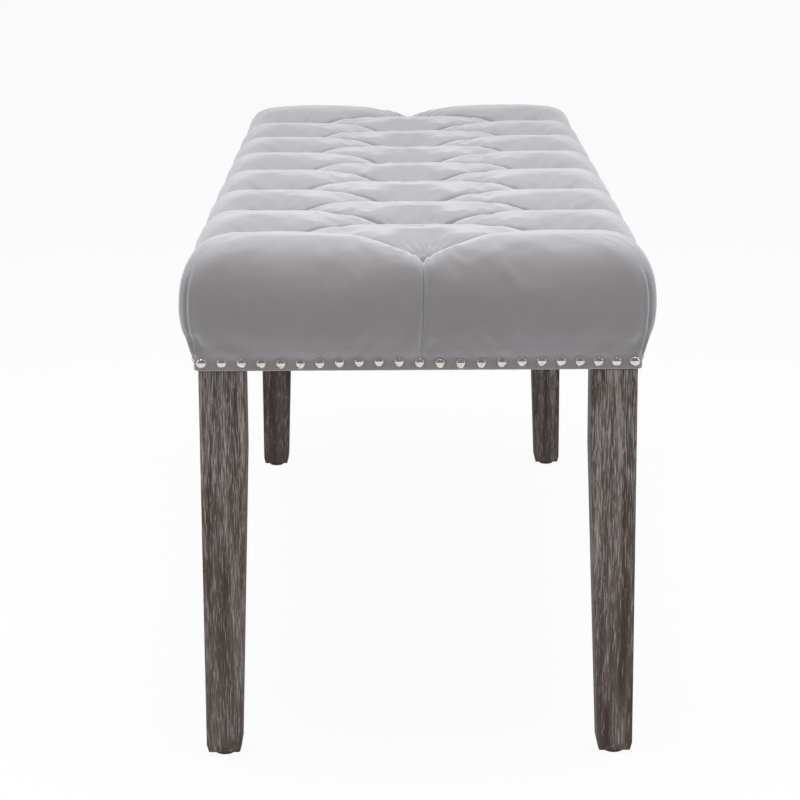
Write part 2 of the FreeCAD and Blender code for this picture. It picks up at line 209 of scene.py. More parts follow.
# Frame fasteners: zinc plated steel. Screws hold the deck and the cross rails, a hanger bolt
# and its T-nut hold each leg, and a washer under the deck takes each tuft tie.


def make_plating():
    """The faint cloudy patina of plating: its colour, its roughness and the cloud itself."""
    group, given, result = effect_group(
        "plating",
        [
            ("Spots", "NodeSocketFloat", 260.0),
            ("Dull", "NodeSocketColor", (0.5, 0.5, 0.5, 1.0)),
            ("Bright", "NodeSocketColor", (0.7, 0.7, 0.7, 1.0)),
            ("Dull Roughness", "NodeSocketFloat", 0.5),
            ("Bright Roughness", "NodeSocketFloat", 0.3),
        ],
        [
            ("Color", "NodeSocketColor"),
            ("Roughness", "NodeSocketFloat"),
            ("Cloud", "NodeSocketFloat"),
        ],
    )
    place = add(group, "ShaderNodeTexCoord")
    cloud = add(group, "ShaderNodeTexNoise", inputs={"Detail": 4.0, "Roughness": 0.6})
    group.links.new(place.outputs["Object"], cloud.inputs["Vector"])
    group.links.new(given.outputs["Spots"], cloud.inputs["Scale"])
    clean = add(group, "ShaderNodeMapRange", inputs={"From Min": 0.35, "From Max": 0.62})
    group.links.new(cloud.outputs["Fac"], clean.inputs["Value"])
    colour = add(group, "ShaderNodeMix", data_type="RGBA")
    group.links.new(clean.outputs["Result"], colour.inputs[0])
    group.links.new(given.outputs["Dull"], colour.inputs[6])
    group.links.new(given.outputs["Bright"], colour.inputs[7])
    gloss = add(group, "ShaderNodeMapRange", inputs={"From Min": 0.3, "From Max": 0.7})
    group.links.new(cloud.outputs["Fac"], gloss.inputs["Value"])
    group.links.new(given.outputs["Dull Roughness"], gloss.inputs["To Min"])
    group.links.new(given.outputs["Bright Roughness"], gloss.inputs["To Max"])
    group.links.new(colour.outputs[2], result.inputs["Color"])
    group.links.new(gloss.outputs["Result"], result.inputs["Roughness"])
    group.links.new(cloud.outputs["Fac"], result.inputs["Cloud"])
    return group


plating = make_plating()


def plated_metal(name, dull, bright, dull_rough, bright_rough, spots):
    """Plated metal, with the plating group's patina and hairline scuffs."""
    made, tree, shader = new_material(name)
    patina = place_group(
        tree,
        plating,
        Spots=spots,
        Dull=(*dull, 1.0),
        Bright=(*bright, 1.0),
        Dull_Roughness=dull_rough,
        Bright_Roughness=bright_rough,
    )
    tree.links.new(patina.outputs["Color"], shader.inputs["Base Color"])
    tree.links.new(patina.outputs["Roughness"], shader.inputs["Roughness"])
    scuffs = bump_from(tree, patina.outputs["Cloud"], 0.00002)
    tree.links.new(scuffs, shader.inputs["Normal"])
    shader.inputs["Metallic"].default_value = 1.0
    return made


zinc = plated_metal(
    "zinc_plate", (0.50, 0.51, 0.53), (0.72, 0.73, 0.76), 0.513, 0.285, spots=260.0
)
for name in ("deck_screws", "cross_rail_screws", "tuft_washers", "t_nuts", "hanger_bolts"):
    finish_node(name, zinc)


# Tuft ties: waxed linen twine from each tuft down through the foam and the deck, knotted
# over a washer below so that the tuft stays pulled in.


def make_twine():
    """Waxed twine, its strands shown as slanting bands."""
    made, tree, shader = new_material("waxed_twine")
    place = add(tree, "ShaderNodeTexCoord")
    twist = add(
        tree,
        "ShaderNodeTexWave",
        bands_direction="DIAGONAL",
        inputs={"Scale": 520.0, "Distortion": 1.5, "Detail": 2.0},
    )
    tree.links.new(place.outputs["Object"], twist.inputs["Vector"])
    colour = shades(
        tree, twist.outputs["Fac"], [(0.1, (0.45, 0.38, 0.28)), (0.8, (0.76, 0.70, 0.58))]
    )
    tree.links.new(colour, shader.inputs["Base Color"])
    tree.links.new(bump_from(tree, twist.outputs["Fac"], 0.0002), shader.inputs["Normal"])
    shader.inputs["Roughness"].default_value = 0.8
    return made


finish_node("tuft_ties", make_twine())


# Velvet cushion: a foam pad under wadding and one velvet cover, pulled down by two rows of
# side tufts and one centre row, the cloth between them folded into pleats. The cover is drawn
# over the rails, nailed round the foot and stapled under the frame.

crown_height = 460.0
middle_drop = 4.0
middle_drop_starts = 492.0
middle_drop_run = 60.0
centre_sag = 2.0
centre_sag_half_width = 135.0
crest_half_length = 505.0
crest_half_width = 162.0
crest_corner = 30.0
belly_height = 404.0
belly_half_length = 550.0
belly_half_width = 202.75
belly_corner = 24.0
band_top = 360.0
band_half_length = 539.0
band_half_width = 191.75
band_corner = 6.0
nail_band_heights = (358.4, 356.6, 354.8, 353.0, 351.2)
hem_height = 350.0
hem_round = 1.2
hem_turned_under = 42.0
hem_corner = 3.0
frame_half_length = 535.6
frame_half_width = 188.35
hem_top = 351.4
deck_top = 408.6
shoulder_rings = 13
shoulder_fullness = 0.8
belly_rings = 9
belly_pull_in = 1.7
rim_sample = 4.8
side_sample = 5.2
length_kept = 432.0
width_kept = 90.0

# Tufts are pulled by hand, so they stray a few millimetres from an even 140 mm pitch.
centre_tufts = [(490, 5), (350, -2), (210, -5), (70, -6), (-70, -7), (-210, -6), (-350, -5)]
centre_tufts += [(-490, -1)]
back_tufts = [(420, 137), (280, 138), (143, 137), (-3, 139), (-146, 137), (-286, 138)]
back_tufts += [(-427, 136)]
front_tufts = [(422, -138), (274, -137), (139, -139), (-4, -138), (-143, -137), (-280, -138)]
front_tufts += [(-417, -137)]
tuft_funnel_reach = 62.0
tuft_funnel_steepness = 1.6
end_funnel_depth = 18.5
centre_funnel_depth = 18.0
side_funnel_depth = 18.5
pleat_dip_ends = 12.0
pleat_dip_middle = 8.5
pleat_dip_reach = 56.0
side_pleat_reach = 64.0
fold_depth = 3.6
fold_reach = 2.4
# dip and fold of a side pleat by its distance from the middle line, over the shoulder and down
side_pleat_run = (138.0, 162.0, 185.0, 210.0, 238.0, 262.0, 286.0)
side_pleat_dips = (13.0, 14.0, 12.0, 8.0, 4.0, 1.6, 0.0)
side_pleat_folds = (3.4, 3.2, 3.0, 2.6, 1.8, 0.7, 0.0)
# the pleat at each end, from the last centre tuft down to the nails
end_pleat_run = (490.0, 505.0, 520.0, 532.0, 546.0, 570.0, 600.0, 630.0)
end_pleat_dips = (8.0, 11.0, 13.0, 11.0, 6.0, 2.2, 0.8, 0.0)
end_pleat_reach = (46.0, 44.0, 38.0, 28.0, 18.0, 14.0, 12.0, 12.0)
end_pleat_fold = 0.4


def profile_rings():
    """Height, half length, half width, corner radius, normal's tilt and arc of each ring."""
    rings = []
    for k in range(shoulder_rings + 1):
        turn = math.pi / 2 * k / shoulder_rings
        out = math.sin(turn) ** shoulder_fullness
        down = 1 - max(math.cos(turn), 0.0) ** shoulder_fullness
        height = crown_height - (crown_height - belly_height) * down
        rings.append(
            [
                height,
                crest_half_length + (belly_half_length - crest_half_length) * out,
                crest_half_width + (belly_half_width - crest_half_width) * out,
                crest_corner + (belly_corner - crest_corner) * out,
            ]
        )
    for k in range(1, belly_rings + 1):
        share = k / belly_rings
        keep = 1 - share**belly_pull_in
        rings.append(
            [
                belly_height + (band_top - belly_height) * share,
                band_half_length + (belly_half_length - band_half_length) * keep,
                band_half_width + (belly_half_width - band_half_width) * keep,
                band_corner + (belly_corner - band_corner) * keep,
            ]
        )
    for height in nail_band_heights:
        rings.append([height, band_half_length, band_half_width, band_corner])
    hem_length, hem_width = band_half_length - hem_round, band_half_width - hem_round
    rings.append([hem_height, hem_length, hem_width, band_corner - 1.0])
    arc = 0.0
    for k, ring in enumerate(rings):
        before, after = rings[max(k - 1, 0)], rings[min(k + 1, len(rings) - 1)]
        tilt = math.atan2(after[2] - before[2], before[0] - after[0])
        if k:
            arc += math.hypot(ring[2] - rings[k - 1][2], ring[0] - rings[k - 1][0])
        ring += [math.pi / 2 if k == 0 else tilt, arc]
    return rings


def graded(low, high, step, marks, offsets):
    """Places from low to high: close together at each mark, and no further apart than step."""
    fixed = {low, high}
    for mark in marks:
        for offset in (0.0, *offsets):
            for place in (mark - offset, mark + offset):
                if low < place < high:
                    fixed.add(place)
    found = []
    ordered = sorted(fixed)
    for start, end in zip(ordered, ordered[1:]):
        count = max(1, math.ceil((end - start) / step - 1e-6))
        found += [start + (end - start) * i / count for i in range(count)]
    return found + [high]


def outline_columns():
    """Centre of the corner arc, and the way out from it, of each column round the seat."""
    long_end = crest_half_length - crest_corner
    wide_end = crest_half_width - crest_corner
    fold_sides = (0.9, 2.3, 4.8, 8.5)
    fine = (0.9, 1.9, 3.0, 4.4, 6.2, 8.6)
    corner = [math.pi / 2 * i / 16 for i in range(1, 16)]
    near = graded(-wide_end, wide_end, rim_sample, [centre_tufts[0][1]], fine)
    far = graded(-wide_end, wide_end, rim_sample, [centre_tufts[-1][1]], fine)
    back = graded(-long_end, long_end, side_sample, [x for x, y in back_tufts], fold_sides)
    front = graded(-long_end, long_end, side_sample, [x for x, y in front_tufts], fold_sides)
    columns = [(long_end, y, 1.0, 0.0) for y in near]
    columns += [(long_end, wide_end, math.cos(a), math.sin(a)) for a in corner]
    columns += [(x, wide_end, 0.0, 1.0) for x in reversed(back)]
    columns += [(-long_end, wide_end, -math.sin(a), math.cos(a)) for a in corner]
    columns += [(-long_end, y, -1.0, 0.0) for y in reversed(far)]
    columns += [(-long_end, -wide_end, -math.cos(a), -math.sin(a)) for a in corner]
    columns += [(x, -wide_end, 0.0, -1.0) for x in front]
    columns += [(long_end, -wide_end, math.sin(a), -math.cos(a)) for a in corner]
    return np.array(columns)


def stretched(place, keep, old_end, new_end):
    """Moves places beyond keep so that old_end lands on new_end."""
    size = np.abs(place)
    far = keep + (size - keep) * (new_end - keep) / (old_end - keep)
    return np.sign(place) * np.where(size > keep, far, size)


def pleat_lines():
    """Each pleat: its kind and its two ends on the unfolded cover."""
    lines = []
    for row in (front_tufts, back_tufts):
        for index, tuft in enumerate(row):
            lines.append(("diagonal", centre_tufts[index], tuft))
            lines.append(("diagonal", centre_tufts[index + 1], tuft))
            lines.append(("side", tuft, (tuft[0], math.copysign(side_pleat_run[-1], tuft[1]))))
    for x, y in (centre_tufts[0], centre_tufts[-1]):
        lines.append(("end", (x, y), (math.copysign(end_pleat_run[-1], x), y)))
    return lines


def beside_line(points, start, end):
    """Each point's share of the way along a line, and how far it lies from it."""
    start = np.array(start, float)
    run = np.array(end, float) - start
    share = np.clip(((points - start) @ run) / (run @ run), 0, 1)
    return share, np.hypot(*(points - start - share[:, None] * run).T)


def sunk(points):
    """How far tufts and pleats draw the cover in at points of the unfolded cover."""
    funnel = np.zeros(len(points))
    rows = [(tuft, centre_funnel_depth) for tuft in centre_tufts[1:-1]]
    rows += [(tuft, end_funnel_depth) for tuft in (centre_tufts[0], centre_tufts[-1])]
    rows += [(tuft, side_funnel_depth) for tuft in front_tufts + back_tufts]
    for (x, y), depth in rows:
        away = np.hypot(points[:, 0] - x, points[:, 1] - y)
        level = np.clip(1 - away / tuft_funnel_reach, 0, 1)
        funnel = np.maximum(funnel, depth * level**tuft_funnel_steepness)
    top = np.zeros(len(points))
    total = np.full(len(points), 1e-9)
    fold = np.zeros(len(points))
    for kind, start, end in pleat_lines():
        share, away = beside_line(points, start, end)
        reach, crease = pleat_dip_reach, fold_depth
        if kind == "diagonal":
            dip = pleat_dip_ends + (pleat_dip_middle - pleat_dip_ends) * np.sin(math.pi * share)
        elif kind == "side":
            place = abs(start[1]) + share * abs(end[1] - start[1])
            dip = np.interp(place, side_pleat_run, side_pleat_dips)
            reach = side_pleat_reach
            crease = np.interp(place, side_pleat_run, side_pleat_folds)
        else:
            place = abs(start[0]) + share * abs(end[0] - start[0])
            dip = np.interp(place, end_pleat_run, end_pleat_dips)
            reach = np.interp(place, end_pleat_run, end_pleat_reach)
            crease = end_pleat_fold
        level = 1 - np.clip(away / reach, 0, 1)
        drop = dip * (1 - np.sqrt(1 - level**2))
        top += drop**7
        total += drop**6
        fold = np.maximum(fold, crease * np.clip(1 - away / fold_reach, 0, 1) ** 1.4)
    return funnel + top / total + fold


def sag_at(x, y):
    """How far the top lies below its ends' crest: a little lower inside the last tufts."""
    inside = np.clip((middle_drop_starts - np.abs(x)) / middle_drop_run, 0, 1)
    across = np.cos(np.clip(np.abs(y) / centre_sag_half_width, 0, 1) * math.pi / 2) ** 2
    return middle_drop * inside**2 * (3 - 2 * inside) + centre_sag * across


def inside_rim(x, y, margin):
    """True inside the rounded rectangle of the crest, by that margin."""
    over_x = max(abs(x) - (crest_half_length - crest_corner), 0.0)
    over_y = max(abs(y) - (crest_half_width - crest_corner), 0.0)
    return math.hypot(over_x, over_y) < crest_corner - margin


class Plan:
    """Points of the cover's top laid flat, none closer together than asked."""

    def __init__(self, rim):
        self.cells = {}
        self.points = []
        for x, y in rim:
            self.keep(float(x), float(y))

    def keep(self, x, y):
        """Adds a point and gives its number."""
        self.cells.setdefault((int(x // 6), int(y // 6)), []).append(len(self.points))
        self.points.append((x, y))
        return len(self.points) - 1

    def nearest(self, x, y):
        """The closest kept point within 6 mm, and how far it is."""
        best, index = 6.0, None
        for i in (-1, 0, 1):
            for j in (-1, 0, 1):
                for k in self.cells.get((int(x // 6) + i, int(y // 6) + j), ()):
                    gap = math.dist(self.points[k], (x, y))
                    if gap < best:
                        best, index = gap, k
        return best, index

    def keep_clear(self, x, y, gap, margin):
        """Adds a point if it is inside the rim and no other is within the gap."""
        if inside_rim(x, y, margin) and self.nearest(x, y)[0] >= gap:
            self.keep(x, y)


# Spacing of the cover's points: along a pleat, round a tuft and over the open cloth. Beside a
# pleat they stand at four distances, each with its least gap.
pleat_step = 4.6
pleat_sides = ((0.9, 0.8), (2.3, 1.5), (4.8, 2.4), (8.5, 3.2))
tuft_rings = (6.0, 10.0, 15.0, 21.0, 28.0)
tuft_ring_step = 3.4
field_step = 6.0
field_row = 5.4


def seat_plan(rim):
    """Points of the top inside the rim, with the rim and the pleats as fixed lines."""
    plan = Plan(rim)
    fixed = [(i, (i + 1) % len(rim)) for i in range(len(rim))]
    spots = []
    for kind, start, end in pleat_lines():
        if kind == "side":
            end = (end[0], math.copysign(crest_half_width, end[1]))
        if kind == "end":
            end = (math.copysign(crest_half_length, end[0]), end[1])
        length = math.dist(start, end)
        count = max(2, round(length / pleat_step))
        way = ((end[0] - start[0]) / length, (end[1] - start[1]) / length)
        line = []
        for i in range(count + 1):
            x, y = start[0] + way[0] * length * i / count, start[1] + way[1] * length * i / count
            gap, index = plan.nearest(x, y)
            line.append(index if gap < 0.01 else plan.keep(x, y))
            spots.append((x + way[0] * 2.3, y + way[1] * 2.3, way))
        fixed += list(zip(line, line[1:]))
    for offset, gap in pleat_sides:
        for x, y, way in spots:
            for side in (-offset, offset):
                plan.keep_clear(x - way[1] * side, y + way[0] * side, gap, 1.0)
    for x, y in centre_tufts + front_tufts + back_tufts:
        for ring in tuft_rings:
            count = round(ring * 2 * math.pi / tuft_ring_step)
            for i in range(count):
                turn = 2 * math.pi * i / count
                plan.keep_clear(x + ring * math.cos(turn), y + ring * math.sin(turn), 2.6, 3.0)
    for row in range(round(2 * crest_half_width / field_row) + 1):
        for column in range(int(2 * crest_half_length / field_step) + 2):
            x = -crest_half_length + column * field_step + (row % 2) * field_step / 2
            plan.keep_clear(x, -crest_half_width + row * field_row, 4.2, 3.5)
    return plan.points, fixed


def sew_cushion():
    """The cover's outside and its turned-under hem, and where each point lies unfolded."""
    rings = profile_rings()
    columns = outline_columns()
    count = len(columns)
    long_end = crest_half_length - crest_corner
    wide_end = crest_half_width - crest_corner
    centre, way = columns[:, :2], columns[:, 2:]
    plan, fixed = seat_plan(centre + way * crest_corner)
    found = delaunay_2d_cdt([Vector(p) for p in plan], fixed, [], 1, 1e-4)
    top = np.array([tuple(v) for v in found[0]])
    lift = np.stack([top[:, 0], top[:, 1], crown_height - sag_at(*top.T) - sunk(top)], 1)
    verts, unfolded = [lift], [top]
    for height, half_x, half_y, corner, tilt, arc in rings[1:]:
        x = stretched(centre[:, 0], length_kept, long_end, half_x - corner)
        y = stretched(centre[:, 1], width_kept, wide_end, half_y - corner)
        place = centre + way * (crest_corner + arc)
        drop = sunk(place)
        level = math.sin(tilt) if tilt > 0 else 0.0
        ring = np.zeros((count, 3))
        ring[:, :2] = np.stack([x, y], 1) + way * (corner - drop[:, None] * math.cos(tilt))
        ring[:, 2] = height - drop * math.sin(tilt) - sag_at(x, y) * level**2
        verts.append(ring)
        unfolded.append(place)
    for turned in (hem_turned_under / 3, hem_turned_under):
        hem_x = band_half_length - turned - hem_corner
        hem_y = band_half_width - turned - hem_corner
        x = stretched(centre[:, 0], length_kept, long_end, hem_x)
        y = stretched(centre[:, 1], width_kept, wide_end, hem_y)
        ring = np.full((count, 3), hem_height)
        ring[:, :2] = np.stack([x, y], 1) + way * hem_corner
        verts.append(ring)
        unfolded.append(centre + way * 700.0)
    faces = [tuple(f) for f in found[2]]
    first = np.arange(count)
    for k in range(1, len(verts)):
        second = len(top) + (k - 1) * count + np.arange(count)
        for i in range(count):
            j = (i + 1) % count
            faces.append((int(first[i]), int(second[i]), int(second[j]), int(first[j])))
        first = second
    return np.concatenate(verts), faces, np.concatenate(unfolded)


def mesh_piece(name, verts, faces, scale=MM):
    """A mesh object from vertices in millimetres, with its faces turned outward."""
    mesh = bpy.data.meshes.new(name)
    mesh.from_pydata((np.asarray(verts) * scale).tolist(), [], faces)
    mesh.update()
    body = bmesh.new()
    body.from_mesh(mesh)
    bmesh.ops.recalc_face_normals(body, faces=body.faces[:])
    body.to_mesh(mesh)
    body.free()
    made = bpy.data.objects.new(name, mesh)
    bpy.context.scene.collection.objects.link(made)
    mesh.shade_smooth()
    return made


def press_folds(piece, unfolded):
    """Marks the edges that lie in a pleat, so that subdivision leaves them sharp."""
    in_pleat = np.zeros(len(unfolded), bool)
    for kind, start, end in pleat_lines():
        if kind != "end":
            share, away = beside_line(unfolded, start, end)
            in_pleat |= (away < 0.02) & (share < 0.97)
    mesh = piece.data
    ends = np.zeros(len(mesh.edges) * 2, int)
    mesh.edges.foreach_get("vertices", ends)
    ends = ends.reshape(-1, 2)
    folded = in_pleat[ends[:, 0]] & in_pleat[ends[:, 1]]
    crease = mesh.attributes.new("crease_edge", "FLOAT", "EDGE")
    crease.data.foreach_set("value", folded.astype(np.float32))
    sharp = mesh.attributes.new("sharp_edge", "BOOLEAN", "EDGE")
    sharp.data.foreach_set("value", folded)


verts, faces, unfolded = sew_cushion()
cushion = mesh_piece("velvet_cushion", verts, faces)
press_folds(cushion, unfolded)

# The filling swells the cover between its tufts, pleats and nails, by the cap at most.
filling_pressure = 4.0
cloth_mass = 0.004
swell_frames = 20
swell_cap = 2.6
held_by_pleat = 1.2
held_over_nails = 4.0


def swell_cover(piece, unfolded):
    """Cloth simulation of the cover under the filling's pressure, written back to the mesh."""
    held = np.zeros(len(unfolded), bool)
    for kind, start, end in pleat_lines():
        held |= beside_line(unfolded, start, end)[1] < held_by_pleat
    old = np.zeros(len(unfolded) * 3)
    piece.data.vertices.foreach_get("co", old)
    old = old.reshape(-1, 3)
    held |= old[:, 2] < (band_top + held_over_nails) * MM
    pins = piece.vertex_groups.new(name="held")
    pins.add([int(i) for i in np.where(held)[0]], 1.0, "REPLACE")
    cloth = piece.modifiers.new("filling", "CLOTH")
    cloth.settings.quality = 5
    cloth.settings.mass = cloth_mass
    cloth.settings.air_damping = 2.0
    cloth.settings.tension_stiffness = 8.0
    cloth.settings.compression_stiffness = 4.0
    cloth.settings.shear_stiffness = 4.0
    cloth.settings.bending_stiffness = 0.4
    cloth.settings.shrink_min = -0.015
    cloth.settings.use_pressure = True
    cloth.settings.uniform_pressure_force = filling_pressure
    cloth.settings.vertex_group_mass = "held"
    cloth.settings.effector_weights.gravity = 0.0
    cloth.collision_settings.use_collision = False
    cloth.point_cache.frame_start = 1
    cloth.point_cache.frame_end = swell_frames
    scene = bpy.context.scene
    for number in range(1, swell_frames + 1):
        scene.frame_set(number)
    swollen = piece.evaluated_get(bpy.context.evaluated_depsgraph_get()).data
    new = np.zeros(len(old) * 3)
    swollen.vertices.foreach_get("co", new)
    moved = (new.reshape(-1, 3) - old) / MM
    piece.modifiers.clear()
    piece.vertex_groups.clear()
    scene.frame_set(1)
    size = np.linalg.norm(moved, axis=1)
    moved *= (np.minimum(size, swell_cap) / np.maximum(size, 1e-9))[:, None]
    piece.data.vertices.foreach_set("co", (old + moved * MM).ravel())
    piece.data.update()


swell_cover(cushion, unfolded)


def apply_modifiers(piece):
    """Keeps the piece as its modifiers make it, and takes them off."""
    dg = bpy.context.evaluated_depsgraph_get()
    made = bpy.data.meshes.new_from_object(piece.evaluated_get(dg))
    piece.modifiers.clear()
    old = piece.data
    piece.data = made
    bpy.data.meshes.remove(old)
    made.name = piece.name


def subdivide_piece(piece, levels):
    """Smooth subdivision, applied."""
    modifier = piece.modifiers.new("smooth", "SUBSURF")
    modifier.levels = modifier.render_levels = levels
    apply_modifiers(piece)


subdivide_piece(cushion, 1)

# Gathers fan out from each tuft; the two numbers are how strong they are and how many.
gather_reach = 58.0
near_gathers = (3.0, 24)
other_gathers = (1.7, 20)
side_gathers = (1.5, 18)
# Across the end pleat: place from its line, width and depth of each crease and ridge.
end_fold_top = 446.0
end_crease = (0.0, 1.2, 1.5)
second_crease = (5.2, 1.5, 1.0)
ridge_between = (2.7, 1.6, 0.8)
swell_beside = (-5.5, 4.0, 0.5)
# Round each corner: place in degrees, width and depth of its fold and the ridge beside it.
corner_fold_top = 436.0
corner_fold = (47.0, 5.0, 1.9)
corner_ridge = (37.0, 5.0, 0.9)
nail_head_rise = 3.4
nail_press = 1.3
nail_dimple = 4.6
nail_reach = 8.5
hem_puff = 0.9


def smooth_step(value, low, high):
    """From 0 at low to 1 at high, without a corner at either."""
    share = np.clip((value - low) / (high - low), 0, 1)
    return share * share * (3 - 2 * share)


def ripple(place, middle, width, depth):
    """A rounded groove of that width and depth across its middle."""
    return np.exp(-(((place - middle) / width) ** 2)) * depth


def gather_round_tufts(place, chance):
    """Radial gathers on the top, as a drop in millimetres."""
    drop = np.zeros(len(place))
    rows = [(centre_tufts[0], near_gathers)]
    rows += [(tuft, other_gathers) for tuft in centre_tufts[1:]]
    rows += [(tuft, side_gathers) for tuft in front_tufts + back_tufts]
    for (x, y), (depth, count) in rows:
        dx, dy = place[:, 0] - x, place[:, 1] - y
        away = np.hypot(dx, dy)
        turn = np.arctan2(dy, dx)
        shift, uneven = chance.uniform(0, 6.3, 2)
        wave = np.abs(np.cos(turn * count / 2 + shift + 0.5 * np.sin(3 * turn + uneven)))
        lobes = 0.45 + 0.55 * np.sin(turn * 2 + uneven) ** 2
        fade = 1 - smooth_step(away, 0.35 * gather_reach, gather_reach)
        fade *= smooth_step(away, 2.0, 9.0)
        ahead = np.abs(np.cos(turn)) ** 0.6 if abs(y) < 60 else np.ones(len(place))
        strength = depth * (1.0 if depth > 2 else chance.uniform(0.5, 1.3))
        drop += strength * lobes * ahead * fade * (1 - wave) ** 1.2
    return drop * (place[:, 2] > 425)


def nail_places():
    """Each trim nail's head centre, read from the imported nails."""
    found = []
    for name in ("front", "back", "left_end", "right_end"):
        mesh = parts[f"trim_nails_{name}"].data
        co = np.zeros(len(mesh.vertices) * 3)
        mesh.vertices.foreach_get("co", co)
        co = co.reshape(-1, 3) / MM
        along = 0 if name in ("front", "back") else 1
        outer = np.abs(co[:, 1 - along])
        heads = co[outer > outer.max() - nail_head_rise]
        order = heads[np.argsort(heads[:, along])]
        groups = np.split(order, np.where(np.diff(order[:, along]) > 3.0)[0] + 1)
        found += [(g.min(0) + g.max(0)) / 2 for g in groups]
    return np.array(found)


def hand_finish(piece):
    """Gathers, end and corner folds, and the hem pressed in by its nails."""
    chance = np.random.default_rng(41)
    mesh = piece.data
    place = np.zeros(len(mesh.vertices) * 3)
    mesh.vertices.foreach_get("co", place)
    place = place.reshape(-1, 3) / MM
    x, y, z = place.T.copy()
    place[:, 2] -= gather_round_tufts(place, chance)
    for way, tuft_y in ((1, centre_tufts[0][1]), (-1, centre_tufts[-1][1])):
        on_end = (x * way > 505) & (z > 352)
        low = smooth_step(-z, -end_fold_top - 14, -end_fold_top + 8) * smooth_step(z, 360, 372)
        lean = tuft_y - 2.5 * smooth_step(-z, -440, -360)
        first = ripple(y - lean, *end_crease)
        second = ripple(y - lean, *second_crease)
        second *= smooth_step(z, 368, 392) * smooth_step(-z, -440, -425)
        raised = ripple(y - lean, *ridge_between) + ripple(y - lean, *swell_beside)
        place[:, 0] -= way * on_end * low * (first + second - raised)
    wide = np.abs(x) - (belly_half_length - belly_corner)
    deep = np.abs(y) - (belly_half_width - belly_corner)
    corner = (wide > -6) & (deep > -6) & (z > 352)
    turn = np.degrees(np.arctan2(deep, wide))
    fall = smooth_step(-z, -corner_fold_top - 6, -corner_fold_top + 16) * smooth_step(z, 362, 368)
    pull = corner * fall * (ripple(turn, *corner_fold) - ripple(turn, *corner_ridge))
    place[:, 0] -= np.sign(x) * pull * 0.75
    place[:, 1] -= np.sign(y) * pull * 0.65
    nails = nail_places()
    tree = kdtree.KDTree(len(nails))
    for index, nail in enumerate(nails):
        tree.insert(Vector(nail), index)
    tree.balance()
    for index in np.where((z > 349.0) & (z < 374.0))[0]:
        spot, _, gap = tree.find(Vector(place[index]))
        out_x = abs(abs(spot.x) - band_half_length) < 6
        press = nail_press * math.exp(-((gap / nail_dimple) ** 2)) if z[index] > 349.5 else 0.0
        puff = hem_puff * (1 - math.exp(-((gap / nail_reach) ** 2)))
        puff *= 1 if z[index] < 368 else (374 - z[index]) / 6
        way = np.sign(x[index]) if out_x else np.sign(y[index])
        place[index, 0 if out_x else 1] += way * (puff * 0.6 - press)
        if z[index] < 352 and max(abs(x[index]) - 525, abs(y[index]) - 178) > 0:
            place[index, 2] -= puff * 0.25
    mesh.vertices.foreach_set("co", (place * MM).ravel())
    mesh.update()


hand_finish(cushion)

# The hem's inner edge is carried out to the frame, so that the cushion is a closed solid.
frame_spread = frame_half_length - band_half_length + hem_turned_under
hem_edge_width = 4.0


def pushed_out(place, spread, inner, limit):
    """Moves a place on the hem's inner edge outward, as far as the frame's side."""
    if abs(place) > inner:
        place += math.copysign(spread, place)
    return max(-limit, min(limit, place))


def close_over_frame(piece):
    """Carries the hem's edge up and out over the frame and closes the pad above the deck."""
    body = bmesh.new()
    body.from_mesh(piece.data)
    edge = [e for e in body.edges if e.is_boundary]
    inner_x = (band_half_length - hem_turned_under - hem_edge_width) * MM
    inner_y = (band_half_width - hem_turned_under - hem_edge_width) * MM
    for height, spread in ((hem_top, 0.0), (hem_top, frame_spread), (deck_top, 0.0)):
        made = bmesh.ops.extrude_edge_only(body, edges=edge)["geom"]
        for vert in [g for g in made if isinstance(g, bmesh.types.BMVert)]:
            x = pushed_out(vert.co.x, spread * MM, inner_x, frame_half_length * MM)
            y = pushed_out(vert.co.y, spread * MM, inner_y, frame_half_width * MM)
            vert.co = (x, y, height * MM)
        edge = [g for g in made if isinstance(g, bmesh.types.BMEdge)]
    bmesh.ops.contextual_create(body, geom=edge)
    bmesh.ops.recalc_face_normals(body, faces=body.faces[:])
    body.to_mesh(piece.data)
    body.free()


close_over_frame(cushion)


